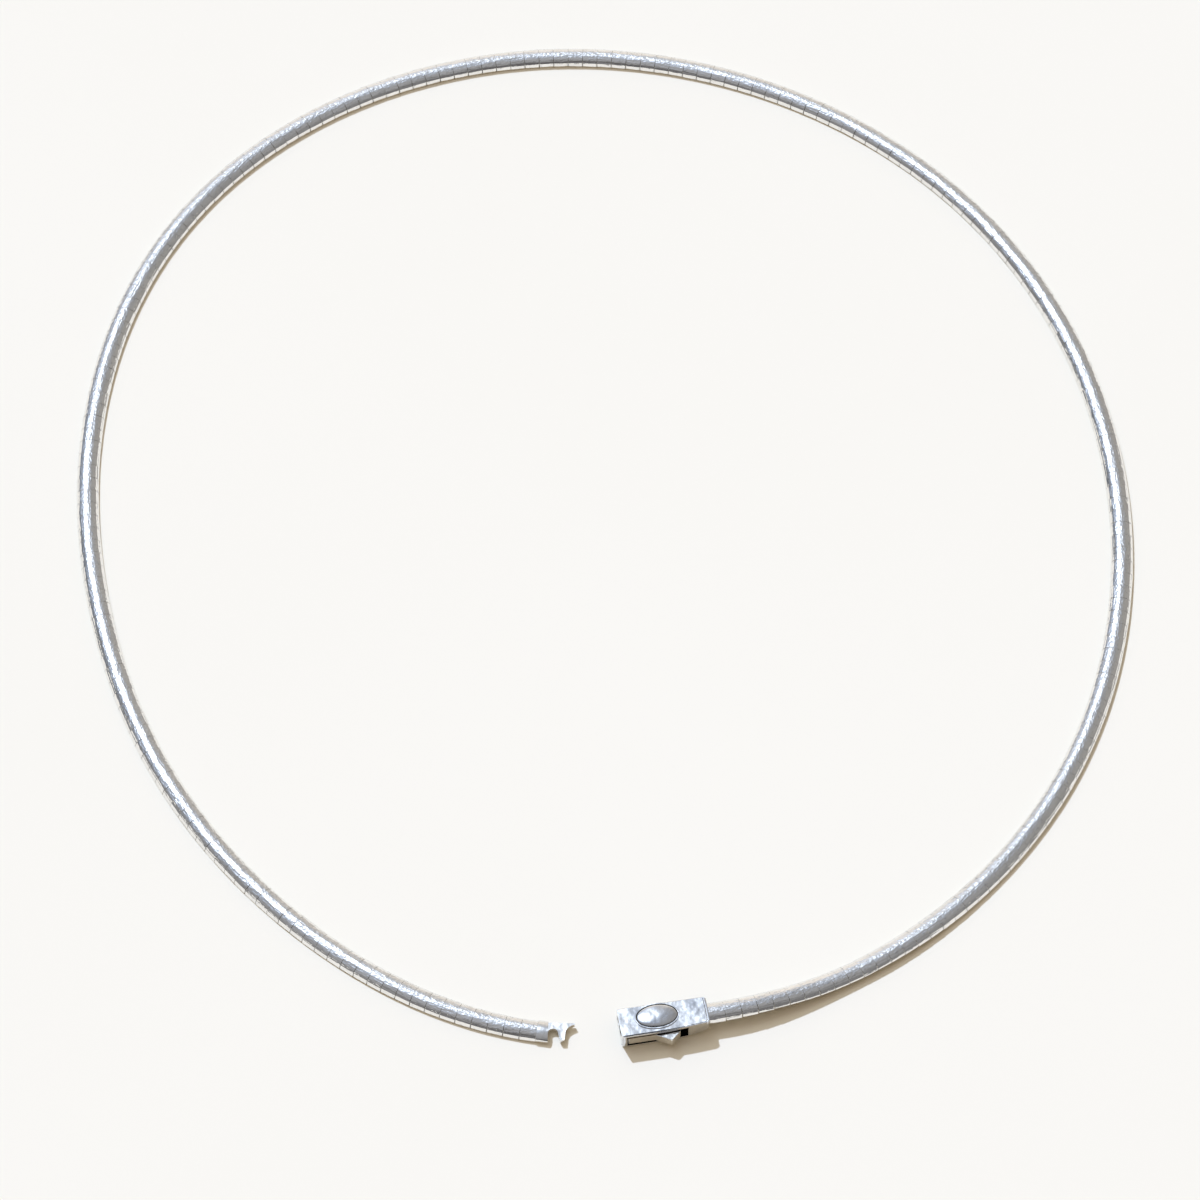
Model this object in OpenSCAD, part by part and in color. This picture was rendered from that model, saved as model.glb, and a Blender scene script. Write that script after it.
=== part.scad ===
// Omega necklace lying open on a surface, in millimetres, +Z up.
// Domed plates ride on a flexible flat core. The free end carries a notched tongue, the other end a box
// clasp with a domed oval on top and a push lever in its outer side.
// The origin is under the middle of the whole necklace, on the surface that it lies on.

/* [Chain] */
// Number of plates from the tongue round to the clasp
plate_count = 217; // [160:1:225]
// Length of chain that each plate takes up
plate_pitch = 1.943; // [1.75:0.001:2.15]
// Clear gap between two plates where they come closest
plate_gap = 0.12; // [0.1:0.01:0.2]
// Width of the chain
chain_w = 2.85; // [2.5:0.05:3.2]
// Height of the chain at the top of its dome
chain_h = 1.2; // [1.1:0.05:1.4]
// Height at which a plate's upright sides turn into its rounded shoulders
side_h = 0.42; // [0.35:0.01:0.5]
// Radius of those shoulders
shoulder_r = 0.45; // [0.35:0.01:0.5]
// Chamfer along the lower edges of a plate
lower_chamfer = 0.2; // [0.1:0.01:0.22]
// Thickness of the sheet that the plates are bent from
sheet_t = 0.22; // [0.15:0.01:0.28]
// Width of the lips turned in under the core, measured from the side
lip_w = 0.6; // [0.45:0.05:0.85]
// Clearance all round between the core and the plates
core_clear = 0.08; // [0.06:0.01:0.12]
// Length of chain over which it climbs from the surface to the clasp
rise_run = 20; // [16:1:40]
// How far the top of the dome lies below the top of the clasp
rise_drop = 0.17; // [0:0.01:0.3]

/* [Tongue] */
// Length of the end cap that closes the chain behind the tongue
cap_l = 1.3; // [1:0.1:1.8]
// Depth to which the core is held in the end cap and in the clasp
core_seat = 0.6; // [0.4:0.05:0.7]
// Length of the tongue beyond the end cap
tongue_l = 3.17; // [2.8:0.01:3.6]
// Width of the tongue
tongue_w = 2.35; // [2:0.05:2.4]
// Thickness of the tongue
tongue_t = 0.6; // [0.5:0.05:0.65]
// Height of the tongue above the underside of the chain
tongue_z = 0.2; // [0.1:0.05:0.3]
// Distance of the straight inner edge from the middle of the chain
tongue_reach = 1.12; // [1:0.02:1.2]
// Turn of the tongue away from the last stretch of chain, in degrees
tongue_turn = 7; // [0:1:9]
// Width of the neck that the notch leaves
neck_w = 0.8; // [0.6:0.05:0.9]
// Diameter of the round notch behind the tooth
notch_d = 1.2; // [1:0.05:1.3]
// Distance of the tooth's point from the end cap
tooth_x = 1.48; // [1.35:0.01:1.7]
// Length of the tooth along the outer edge
tooth_l = 0.52; // [0.4:0.02:0.7]

/* [Clasp] */
// Length of the clasp
clasp_l = 10.7; // [10:0.1:12]
// Width of the clasp
clasp_w = 4.02; // [4:0.01:4.4]
// Height of the clasp
clasp_h = 2.45; // [2.4:0.05:2.8]
// Wall thickness of the clasp
clasp_wall = 0.35; // [0.3:0.01:0.36]
// Thickness of the rear wall that the core is held in
rear_wall = 0.8; // [0.75:0.05:1]
// Rounding of the clasp's long upper edges
top_round = 0.2; // [0.1:0.01:0.3]
// Rounding of the clasp's long lower edges
bottom_round = 0.15; // [0.05:0.01:0.2]
// Distance of the clasp's inner side from the middle of the chain, at the mouth
clasp_in = 1.9; // [1.88:0.01:2.1]
// Width of the clasp at its rear end
rear_w = 3.55; // [3.3:0.05:3.8]
// Height to which the underside rises at the rear end
rear_low = 0.88; // [0.3:0.02:0.92]
// Distance from the mouth at which the underside begins to rise
lift_x = 7; // [6:0.1:8]
// Distance from the mouth at which the outer side begins to taper
taper_x = 5.6; // [5:0.1:7]
// Rounding of the clasp's outer front corner
front_round = 0.4; // [0.2:0.02:0.5]
// Length of the raised band at the rear end
rim_l = 0.28; // [0.2:0.02:0.5]
// Height by which that band stands above the clasp's top
rim_proud = 0.05; // [0.03:0.01:0.08]
// Clearance between the tongue and the mouth that it enters
mouth_clear = 0.12; // [0.06:0.01:0.16]

/* [Oval] */
// Half length of the domed oval
oval_a = 2.48; // [2.3:0.01:2.8]
// Half width of the domed oval
oval_b = 1.54; // [1.35:0.01:1.56]
// Rise of the dome above the clasp's top
oval_rise = 0.42; // [0.25:0.01:0.55]
// Depth to which the oval is let into the clasp's top
oval_seat = 0.15; // [0.1:0.01:0.2]
// Gap between the oval and its raised ring
oval_gap = 0.06; // [0.05:0.01:0.1]
// Width of the raised ring
ring_w = 0.14; // [0.1:0.01:0.16]
// Height of the raised ring above the clasp's top
ring_h = 0.14; // [0.08:0.01:0.2]
// Distance of the oval's middle from the mouth
oval_x = 4.55; // [4:0.05:5.2]
// Distance of the oval's middle from the clasp's centre line, towards the neck
oval_y = 0.08; // [0:0.01:0.1]

/* [Lever] */
// Thickness of the lever
lever_t = 1.25; // [1:0.05:1.3]
// Width of the lever's bar
lever_w = 0.72; // [0.6:0.02:0.74]
// Depth by which the lever lies inside the clasp's outer face
lever_inset = 0.03; // [0:0.01:0.1]
// Distance of the lever's front end from the mouth
lever_x = 0.75; // [0.7:0.01:0.9]
// Height of the clasp's strip under the lever's slot
slot_z = 0.38; // [0.36:0.01:0.42]
// Gap under the lever in its slot
slot_under = 0.26; // [0.2:0.01:0.3]
// Gap over the lever in its slot
slot_over = 0.16; // [0.1:0.01:0.2]
// Distance of the slot's front end from the mouth
slot_x = 0.62; // [0.5:0.01:0.66]
// Length of the open slot behind the thumb tab
slot_tail = 0.95; // [0.4:0.05:1.2]
// Distance from the mouth at which the thumb tab starts
tab_x = 3.98; // [3.8:0.01:4.4]
// Length of the thumb tab along the clasp
tab_l = 3.07; // [2.8:0.01:3.4]
// Distance of the tab's tip from its start, along the clasp
tab_tip = 1.82; // [1.5:0.01:2.1]
// Height of the tab's tip beyond the clasp's outer face
tab_proud = 1.05; // [0.8:0.05:1.4]
// Width of the blunt tip of the tab
tab_blunt = 0.4; // [0.2:0.05:0.5]
// Bite of the hook behind the tongue's tooth
hook_bite = 0.6; // [0.4:0.02:0.66]
// Length of the hook along the clasp
hook_l = 0.4; // [0.3:0.02:0.45]
// Diameter of the pivot pin
pin_d = 0.6; // [0.5:0.02:0.7]
// Radial running clearance of the lever on its pin
pin_clear = 0.03; // [0.02:0.01:0.06]
// Distance of the pin from the mouth
pin_x = 3.9; // [3.7:0.05:4.2]
// Distance of the pin from the clasp's outer face
pin_in = 0.68; // [0.66:0.01:0.8]
// Metal left round the pin in the lever's boss
boss_wall = 0.3; // [0.2:0.02:0.36]

/* [Hidden] */

// The route of the chain as it lies, from the tongue round to the clasp. These are the headings in
// degrees, chosen at even shares of its length, that a smooth curve runs through.
route_headings = [
    191.1, 150.9, 129, 108.2, 92.6, 72.3, 42.7, 14,
    -14.8, -39.9, -63.9, -84.3, -103.2, -127.3, -153.3, -186.7
];

eps = 0.01;
crown_steps = 6;
shoulder_steps = 3;
round_steps = 5;
core_step = 2;
pin_seat = 0.1;

chain_l = plate_count * plate_pitch;
half_w = chain_w / 2;
chain_rise = clasp_h - chain_h - rise_drop;
route_spans = len(route_headings) - 2;

// Unit vector at an angle
function unit(angle) = [cos(angle), sin(angle)];
// A point turned by an angle about the origin
function turned(p, angle) = [
    p[0] * cos(angle) - p[1] * sin(angle),
    p[0] * sin(angle) + p[1] * cos(angle)
];

// Heading of the chain at a share of its length, from a quadratic spline over the headings
function heading(share) =
    let (t = min(max(share, 0), 1) * route_spans,
         i = min(floor(t), route_spans - 1),
         f = t - i)
    pow(1 - f, 2) / 2 * route_headings[i]
    + (1 / 2 + f - f * f) * route_headings[i + 1]
    + f * f / 2 * route_headings[i + 2];

// Height of the chain's underside at a distance along it
function rise(s) =
    let (t = min(max((s - chain_l + rise_run) / rise_run, 0), 1))
    chain_rise * t * t * (3 - 2 * t);

function plate_heading(k) = heading((k + 0.5) / plate_count);

// Where each plate starts, one plate after the other, on a route that starts at [0, 0]
route_raw = [
    for (k = 0, p = [0, 0]; k <= plate_count; p = p + plate_pitch * unit(plate_heading(k)), k = k + 1) p
];

// A plate is shorter than its pitch, so that the gap stays open inside the tightest bend and the climb
largest_step = max([for (i = [0:route_spans]) abs(route_headings[i + 1] - route_headings[i])]);
bend_r = chain_l / route_spans / (largest_step * PI / 180);
climb_r = rise_run * rise_run / (6 * chain_rise);
plate_l = plate_pitch * (1 - half_w / bend_r - chain_h / climb_r) - plate_gap;

// Directions at the two ends, and the clasp's place on the route that starts at [0, 0]
start_turn = heading(0) + 180;
end_turn = heading(1) + 180;
clasp_raw = route_raw[plate_count] - clasp_l * unit(end_turn);

clasp_out = clasp_in - clasp_w;
lever_out = clasp_out + lever_inset;
tongue_near = tongue_reach - tongue_w;
tip_y = lever_out - tab_proud;

// Corners of the necklace in plan, on the route that starts at [0, 0]
plate_corners = [
    for (k = [0:plate_count - 1], along = [-1, 1], across = [-1, 1])
        route_raw[k] + turned([plate_pitch / 2 + along * plate_l / 2, across * half_w], plate_heading(k))
];
clasp_corners = [
    for (p = [
        [0, clasp_in],
        [front_round, clasp_out],
        [taper_x, clasp_out],
        [clasp_l, -rear_w / 2],
        [clasp_l, rear_w / 2],
        [tab_x + tab_tip, tip_y]
    ])
        clasp_raw + turned(p, end_turn)
];
tongue_corners = [
    for (p = [[cap_l, -half_w], [cap_l, half_w], [cap_l + tongue_l, tongue_reach], [cap_l, tongue_near]])
        turned(p, start_turn)
];
corners = concat(plate_corners, clasp_corners, tongue_corners);
xs = [for (p = corners) p[0]];
ys = [for (p = corners) p[1]];
centre = [(min(xs) + max(xs)) / 2, (min(ys) + max(ys)) / 2];

route = [for (p = route_raw) p - centre];
clasp_at = clasp_raw - centre;
pin_y = clasp_out + pin_in;
pin_top = clasp_h - clasp_wall + pin_seat;

// The dome's section: a wide arc over the top that runs smoothly into a smaller arc at each shoulder
dome_rise = chain_h - side_h;
shoulder_y = half_w - shoulder_r;
crown_r = (shoulder_y * shoulder_y + dome_rise * dome_rise - shoulder_r * shoulder_r)
    / (2 * (dome_rise - shoulder_r));
crown_z = chain_h - crown_r;
crown_reach = asin(shoulder_y / (crown_r - shoulder_r));

// Points over the dome from one shoulder's foot to the other's, at a depth below its surface
function dome(depth) =
    let (shoulder = [
             for (i = [0:shoulder_steps - 1])
                 (shoulder_r - depth) * unit(i / shoulder_steps * (90 - crown_reach)) + [shoulder_y, side_h]
         ],
         last = shoulder_steps - 1)
    concat(
        shoulder,
        [for (i = [0:crown_steps])
            (crown_r - depth) * unit(90 - crown_reach * (1 - 2 * i / crown_steps)) + [0, crown_z]],
        [for (i = [last:-1:0]) [-shoulder[i][0], shoulder[i][1]]]
    );
function backwards(points) = [for (i = [len(points) - 1:-1:0]) points[i]];

// The chain's outside, the room inside its sheet, and the sheet with its lips turned in under the core
inner_half = half_w - sheet_t;
outer_points = concat(
    [[-half_w, lower_chamfer], [-half_w + lower_chamfer, 0]],
    [[half_w - lower_chamfer, 0], [half_w, lower_chamfer]],
    dome(0)
);
room_points = concat([[-inner_half, sheet_t], [inner_half, sheet_t]], dome(sheet_t));
sheet_points = concat(
    [[half_w - lip_w, 0], [half_w - lower_chamfer, 0], [half_w, lower_chamfer]],
    dome(0),
    [[-half_w, lower_chamfer], [-half_w + lower_chamfer, 0]],
    [[-half_w + lip_w, 0], [-half_w + lip_w, sheet_t], [-inner_half, sheet_t]],
    backwards(dome(sheet_t)),
    [[inner_half, sheet_t], [half_w - lip_w, sheet_t]]
);

// The core's section, which keeps its clearance inside that room
core_half = inner_half - core_clear;
core_low = sheet_t + core_clear;
core_side = side_h + sqrt(pow(shoulder_r - sheet_t, 2) - pow(core_half - shoulder_y, 2)) - core_clear;
core_flat = shoulder_y * 0.65;
core_high = crown_z + sqrt(pow(crown_r - sheet_t, 2) - core_flat * core_flat) - core_clear;
core_section = [
    [core_half, core_low + core_clear],
    [core_half, core_side],
    [core_flat, core_high],
    [-core_flat, core_high],
    [-core_half, core_side],
    [-core_half, core_low + core_clear],
    [-core_half + core_clear, core_low],
    [core_half - core_clear, core_low]
];

// Points round a quarter circle, from an angle on
function corner(y, z, r, from) = [
    for (i = [0:round_steps])
        r * unit(from + 90 * i / round_steps) + [y, z]
];

// The clasp's outlines, drawn in from its outer faces by a depth: across it, from above and from the side
function clasp_section(depth) =
    let (top = max(top_round - depth, eps),
         low = max(bottom_round - depth, eps))
    concat(
        corner(clasp_in - depth - top, clasp_h - depth - top, top, 0),
        corner(clasp_out + depth + top, clasp_h - depth - top, top, 90),
        corner(clasp_out + depth + low, depth + low, low, 180),
        corner(clasp_in - depth - low, depth + low, low, 270)
    );
function clasp_plan(depth) =
    let (r = max(front_round - depth, eps))
    concat(
        [[clasp_l, -rear_w / 2 + depth], [clasp_l, rear_w / 2 - depth], [depth, clasp_in - depth]],
        corner(depth + r, clasp_out + depth + r, r, 180),
        [[taper_x, clasp_out + depth]]
    );
function clasp_profile(depth) = [
    [0, depth],
    [lift_x, depth],
    [clasp_l, rear_low + depth],
    [clasp_l, clasp_h],
    [0, clasp_h]
];

// Ellipse with a number of corners
function ellipse(a, b, n) = [for (i = [0:n - 1]) [a * cos(360 * i / n), b * sin(360 * i / n)]];

// Extrudes a section, drawn across the chain, along +X
module bar(section, length) {
    rotate([90, 0, 90]) linear_extrude(length) polygon(section);
}

// A box between two corners
module block(low, high) {
    translate(low) cube(high - low);
}

module on_plate(k) {
    s = (k + 0.5) * plate_pitch;
    climb = rise(s + plate_pitch / 2) - rise(s - plate_pitch / 2);
    middle = (route[k] + route[k + 1]) / 2;
    translate([middle[0], middle[1], rise(s)])
        rotate([0, -asin(climb / plate_pitch), plate_heading(k)])
            children();
}

module at_clasp() {
    translate([clasp_at[0], clasp_at[1], 0]) rotate([0, 0, end_turn]) children();
}

module at_tongue() {
    translate([route[0][0], route[0][1], 0]) rotate([0, 0, start_turn]) children();
}

module plates(first, last) {
    color("silver")
        for (k = [first:last])
            on_plate(k) translate([-plate_l / 2, 0, 0]) bar(sheet_points, plate_l);
}

module chain_left() {
    plates(0, floor(plate_count / 2) - 1);
}

module chain_right() {
    plates(floor(plate_count / 2), plate_count - 1);
}

// One ring of the core at a distance along the chain; past either end it runs on straight
function core_ring(s) =
    let (k = min(max(s / plate_pitch, 0), plate_count),
         over = s - k * plate_pitch,
         turn = heading(k / plate_count),
         p = route[round(k)] + over * unit(turn))
    [for (c = core_section)
        let (q = p + turned([0, c[0]], turn))
        [q[0], q[1], rise(s) + c[1]]];

module core() {
    stations = concat(
        [-core_seat + core_clear],
        [for (k = [0:core_step:plate_count - 1]) k * plate_pitch],
        [chain_l, chain_l + core_seat]
    );
    sides = len(core_section);
    rings = len(stations);
    points = [for (s = stations, p = core_ring(s)) p];
    skin = [
        for (r = [0:rings - 2], i = [0:sides - 1])
            let (a = r * sides + i,
                 b = r * sides + (i + 1) % sides)
            each [[a, b + sides, b], [a, a + sides, b + sides]]
    ];
    near_end = [[for (i = [0:sides - 1]) i]];
    far_end = [[for (i = [0:sides - 1]) rings * sides - 1 - i]];
    color("darkgray") polyhedron(points, concat(skin, near_end, far_end));
}

// The free end: a cap that closes the chain, and the flat notched tongue. The tongue's front edge runs
// from the tooth to the tip in a curve of shares: along, across.
module tongue() {
    front_edge = [
        [0.06, 0.31],
        [0.09, 0.57],
        [0.24, 0.72],
        [0.43, 0.83],
        [0.71, 0.93],
        [1, 1]
    ];
    tooth_end = tooth_x + tooth_l;
    blunt = tongue_t / 5;
    notch_y = tongue_reach - neck_w - notch_d / 2;
    outline = concat(
        [[-cap_l / 2, tongue_reach], [-cap_l / 2, notch_y], [notch_d, notch_y]],
        [[tooth_x, tongue_near], [tooth_end, tongue_near]],
        [for (row = front_edge) [
            tooth_end + (tongue_l - tooth_end) * row[0],
            tongue_near + (tongue_w - blunt) * row[1]
        ]],
        [[tongue_l, tongue_reach]]
    );
    color("silver") at_tongue() difference() {
        union() {
            difference() {
                bar(outer_points, cap_l + half_w * tan(tongue_turn));
                translate([cap_l, 0, 0]) rotate([0, 0, tongue_turn])
                    block([0, -chain_w, -eps], [chain_w, chain_w, chain_h + eps]);
            }
            translate([cap_l, 0, tongue_z])
                rotate([0, 0, tongue_turn])
                    difference() {
                        linear_extrude(tongue_t) polygon(outline);
                        translate([notch_d / 2, notch_y, -eps])
                            cylinder(h = tongue_t + 2 * eps, d = notch_d, $fn = 40);
                    }
        }
        translate([-eps, 0, 0]) bar(room_points, core_seat + eps);
    }
}

// One of the clasp's forms at a depth below its outer faces, between two distances from the mouth
module clasp_form(depth, from, to) {
    intersection() {
        translate([from, 0, 0]) bar(clasp_section(depth), to - from);
        linear_extrude(2 * clasp_h) polygon(clasp_plan(depth));
        translate([0, clasp_w, 0])
            rotate([90, 0, 0])
                linear_extrude(2 * clasp_w) polygon(clasp_profile(depth));
    }
}

// The box of the clasp with its raised band, the oval's ring, the mouth, the lever's slot and the pin hole
module clasp_box() {
    slot_top = slot_z + slot_under + lever_t + slot_over;
    slot_end = tab_x + tab_l + slot_tail;
    mouth_z = chain_rise + tongue_z - mouth_clear;
    color("silver") at_clasp() difference() {
        union() {
            clasp_form(0, 0, clasp_l);
            translate([clasp_l - rim_l, -rear_w / 2 + top_round, clasp_h - clasp_wall])
                cube([rim_l, rear_w - 2 * top_round, clasp_wall + rim_proud]);
            translate([oval_x, oval_y, clasp_h - clasp_wall])
                linear_extrude(clasp_wall + ring_h)
                    polygon(ellipse(oval_a + oval_gap + ring_w, oval_b + oval_gap + ring_w, 48));
        }
        clasp_form(clasp_wall, clasp_wall, clasp_l - rear_wall);
        block([-eps, tongue_near - mouth_clear, mouth_z],
              [clasp_wall + eps, tongue_reach + mouth_clear, mouth_z + tongue_t + 2 * mouth_clear]);
        block([slot_x, -clasp_w, slot_z], [slot_end, clasp_out + 2 * clasp_wall, slot_top]);
        translate([clasp_l - rear_wall - eps, 0, chain_rise]) bar(room_points, rear_wall + 2 * eps);
        translate([oval_x, oval_y, clasp_h - oval_seat])
            linear_extrude(oval_seat + ring_h + eps)
                polygon(ellipse(oval_a + oval_gap, oval_b + oval_gap, 48));
        translate([pin_x, pin_y, -eps])
            cylinder(h = pin_top + eps, d = pin_d + pin_clear, $fn = 40);
    }
}

// The domed oval, with its height over its outline as rows of shares: outline, height
module clasp_oval() {
    corners_round = 40;
    rows = [
        [1, 0],
        [1, 0.42],
        [0.97, 0.58],
        [0.88, 0.76],
        [0.7, 0.9],
        [0.4, 0.98]
    ];
    rings = len(rows);
    last_ring = (rings - 1) * corners_round;
    tall = oval_seat - oval_gap + oval_rise;
    points = concat(
        [for (row = rows, p = ellipse(oval_a * row[0], oval_b * row[0], corners_round))
            [p[0], p[1], tall * row[1]]],
        [[0, 0, tall]]
    );
    skin = [
        for (r = [0:rings - 2], i = [0:corners_round - 1])
            let (a = r * corners_round + i,
                 b = r * corners_round + (i + 1) % corners_round)
            each [[a, b + corners_round, b], [a, a + corners_round, b + corners_round]]
    ];
    top = [
        for (i = [0:corners_round - 1])
            [last_ring + i, last_ring + corners_round, last_ring + (i + 1) % corners_round]
    ];
    base = [[for (i = [0:corners_round - 1]) i]];
    color("gainsboro") at_clasp()
        translate([oval_x, oval_y, clasp_h - oval_seat + oval_gap])
            polyhedron(points, concat(skin, top, base));
}

// The push lever: a bar in the slot, the hook at its front, the thumb tab, and a boss round the pin
module lever() {
    inner = lever_out + lever_w;
    hook_y = tongue_near + hook_bite;
    hook_end = lever_x + hook_l;
    tip_x = tab_x + tab_tip;
    plan = [
        [lever_x, lever_out],
        [tab_x, lever_out],
        [tip_x - tab_blunt / 2, tip_y + tab_blunt / 4],
        [tip_x, tip_y],
        [tip_x + tab_blunt / 2, tip_y + tab_blunt / 4],
        [tab_x + tab_l, lever_out],
        [tab_x + tab_l, inner],
        [hook_end, inner],
        [hook_end, hook_y],
        [hook_end - hook_l / 2, hook_y],
        [lever_x, inner]
    ];
    boss_r = pin_d / 2 + pin_clear + boss_wall;
    color("whitesmoke") at_clasp() translate([0, 0, slot_z + slot_under]) difference() {
        union() {
            linear_extrude(lever_t) polygon(plan);
            translate([pin_x, pin_y, 0]) cylinder(h = lever_t, r = boss_r, $fn = 40);
        }
        translate([pin_x, pin_y, -eps]) cylinder(h = lever_t + 2 * eps, r = pin_d / 2 + pin_clear, $fn = 40);
    }
}

// The upright pin that the lever turns on, let into the clasp's floor and top
module lever_pin() {
    foot = 0.02;
    color("gray") at_clasp() translate([pin_x, pin_y, foot])
        cylinder(h = pin_top - 2 * foot, d = pin_d, $fn = 40);
}

chain_left();
chain_right();
core();
tongue();
clasp_box();
clasp_oval();
lever();
lever_pin();
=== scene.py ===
# Looks of the omega necklace: polished silver plates, tongue and clasp on a pale table in plain studio light.
import math
import random

import bmesh
import bpy
import numpy as np
from mathutils import Matrix, Vector


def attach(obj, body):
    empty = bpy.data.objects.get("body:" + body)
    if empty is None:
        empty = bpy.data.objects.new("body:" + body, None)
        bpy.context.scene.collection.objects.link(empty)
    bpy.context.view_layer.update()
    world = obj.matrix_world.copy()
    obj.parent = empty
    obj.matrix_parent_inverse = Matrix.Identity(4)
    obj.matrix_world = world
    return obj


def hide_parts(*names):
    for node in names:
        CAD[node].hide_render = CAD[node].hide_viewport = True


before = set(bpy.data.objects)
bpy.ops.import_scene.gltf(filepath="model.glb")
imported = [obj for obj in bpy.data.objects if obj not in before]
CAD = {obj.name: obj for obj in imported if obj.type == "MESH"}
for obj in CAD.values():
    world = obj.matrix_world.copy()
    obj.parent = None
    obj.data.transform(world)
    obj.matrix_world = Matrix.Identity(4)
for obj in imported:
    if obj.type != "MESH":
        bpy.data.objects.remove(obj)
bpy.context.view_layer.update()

MM = 0.001

# The chain's route, as in the part's source, in millimetres and degrees
PLATES = 217
LEFT_PLATES = 108
PITCH = 1.943
ROUTE_START = (-7.86893, -74.7793)
HEADINGS = (
    191.1, 150.9, 129, 108.2, 92.6, 72.3, 42.7, 14,
    -14.8, -39.9, -63.9, -84.3, -103.2, -127.3, -153.3, -186.7,
)
RISE = 1.08
RISE_RUN = 20
CHAIN_L = PLATES * PITCH

# Before the clasp the chain rolls towards the loop's inside and lies a little higher: degrees and millimetres
ROLL = 15
LIFT = 0.2
ROLL_FROM = 45
ROLL_RUN = 25
SETTLE_RUN = 8

# The plate's section
HALF_W = 1.418
CHAIN_H = 1.2
SIDE_H = 0.6
SIDE_R = 3.2
SIDE_SLANT = 15
SHOULDER_R = 0.2
LOWER_R = 0.12
SHEET_T = 0.22
LIP_W = 0.6
CLEAR = 0.08
SECTION_MIDDLE = 0.62

# Edge radius of a plate's ends and gap to the next plate: over the crown, and what the sides have more
EDGE_TOP = 0.009
EDGE_SIDE = 0.031
GAP_TOP = 0.004
GAP_SIDE = 0.076

# How unevenly the plates sit: spread in degrees, and of the silver's pattern in millimetres
LEAN_SPREAD = 0.35
ROLL_SPREAD = 0.8
YAW_SPREAD = 0.3
PATTERN_SPREAD = 0.06

# The woven core
CORE_WIRES = 7
CORE_EDGE_H = 0.62
CORE_WAVE = 0.035
CORE_ENDS = (-0.52, CHAIN_L + 0.6)
CORE_FLOOR = 0.02

# The clasp, in its own frame: x from its mouth to the chain, y towards the loop's inside
CLASP_AT = (1.89007, -74.8355)
CLASP_TURN = 10
CLASP_L = 10.7
CLASP_H = 2.45
REAR_W = 3.55
REAR_CORNER_R = 0.42
GROOVE_HALF_W = 0.035
GROOVE_Z = (2.33, 2.8)
GROOVE_NEAR = (
    (0.42, -1.98), (2.0, -1.985), (4.2, -1.985), (5.6, -1.97), (7.6, -1.89), (9.6, -1.72), (10.15, -1.66),
)
GROOVE_REAR = (
    (10.28, -1.6), (10.36, -1.45), (10.38, -0.8), (10.39, 0.0), (10.38, 0.8), (10.36, 1.5), (10.3, 1.66),
)
OVAL_AT = (4.55, 0.08)
OVAL_HALF = (2.44, 1.5)
OVAL_SEAT = 0.15
OVAL_GAP = 0.06
OVAL_RISE = 0.42

# Where the clasp's silver is darkened with painted shade and tarnish: slopes of its side and underside, its slot
# and the oval's groove
TAPER_FROM = 5.6
TAPER_SLOPE = 0.065
BELLY_FROM = 7.0
BELLY_SLOPE = 0.244
SLOT_MIDDLE = 1.97
OVAL_GROOVE = (2.54, 1.6)
# Share of painted shade and tarnish in the oval's groove, and the dark colour painted as shade and tarnish in the
# clasp's recesses
GROOVE_SHADE_AND_TARNISH = 0.75
SHADE_AND_TARNISH = (0.13, 0.095, 0.07)


def heading(share):
    """Heading of the chain at a share of its length: a quadratic spline over HEADINGS."""
    spans = len(HEADINGS) - 2
    t = min(max(share, 0), 1) * spans
    i = min(int(t), spans - 1)
    f = t - i
    before, here, after = HEADINGS[i : i + 3]
    return (1 - f) ** 2 / 2 * before + (0.5 + f - f * f) * here + f * f / 2 * after


def unit(angle):
    """Unit vector of a heading in degrees."""
    return np.array([math.cos(math.radians(angle)), math.sin(math.radians(angle))])


def rise(s):
    """Height of the chain's underside at a distance along it, in millimetres."""
    t = min(max((s - CHAIN_L + RISE_RUN) / RISE_RUN, 0), 1)
    return RISE * t * t * (3 - 2 * t)


def climb_at(s):
    """Slope of the chain at a distance along it, in radians."""
    return math.atan((rise(s + 0.5) - rise(s - 0.5)) / 1.0)


def near_clasp(s):
    """A share that grows to 1 as the chain comes near the clasp, and one that falls to 0 at the clasp itself."""
    near = min(max((s - CHAIN_L + ROLL_FROM) / ROLL_RUN, 0), 1)
    return near * near * (3 - 2 * near), min(max((CHAIN_L - s) / SETTLE_RUN, 0), 1)


def rolled(s):
    """The chain rolls a little towards the loop's inside before it enters the clasp, in degrees."""
    near, last = near_clasp(s)
    return ROLL * near * (0.3 + 0.7 * last)


def lifted(s):
    """Height of the chain's middle line over its resting height, where it rolls, in millimetres."""
    near, last = near_clasp(s)
    return LIFT * near * last


def walk_route():
    """Ends of the plates along the route, from the tongue to the clasp."""
    points = [np.array(ROUTE_START)]
    for k in range(PLATES):
        points.append(points[-1] + PITCH * unit(heading((k + 0.5) / PLATES)))
    return points


ROUTE = walk_route()


def route_at(s):
    """Place and heading of the chain's middle line at a distance along it."""
    k = min(max(s / PITCH, 0), PLATES)
    i = min(int(k), PLATES - 1)
    turn = heading(k / PLATES)
    place = ROUTE[i] + (ROUTE[i + 1] - ROUTE[i]) * (k - i) + (s - k * PITCH) * unit(turn)
    return place, turn


def place_matrix(at, turn, height=0.0, tilt=0.0):
    """Place of a piece in millimetres, turned about the upright and then tilted, in degrees."""
    spin = Matrix.Rotation(math.radians(turn), 4, "Z") @ Matrix.Rotation(math.radians(tilt), 4, "Y")
    return Matrix.Translation((at[0], at[1], height)) @ spin


CLASP = place_matrix(CLASP_AT, CLASP_TURN)


def arc(centre, radius, start, end, steps, ends=True):
    """Points of an arc, with angles from +y towards +z."""
    span = range(steps + 1) if ends else range(1, steps)
    return [
        (
            centre[0] + radius * math.cos(math.radians(start + (end - start) * i / steps)),
            centre[1] + radius * math.sin(math.radians(start + (end - start) * i / steps)),
        )
        for i in span
    ]


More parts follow.
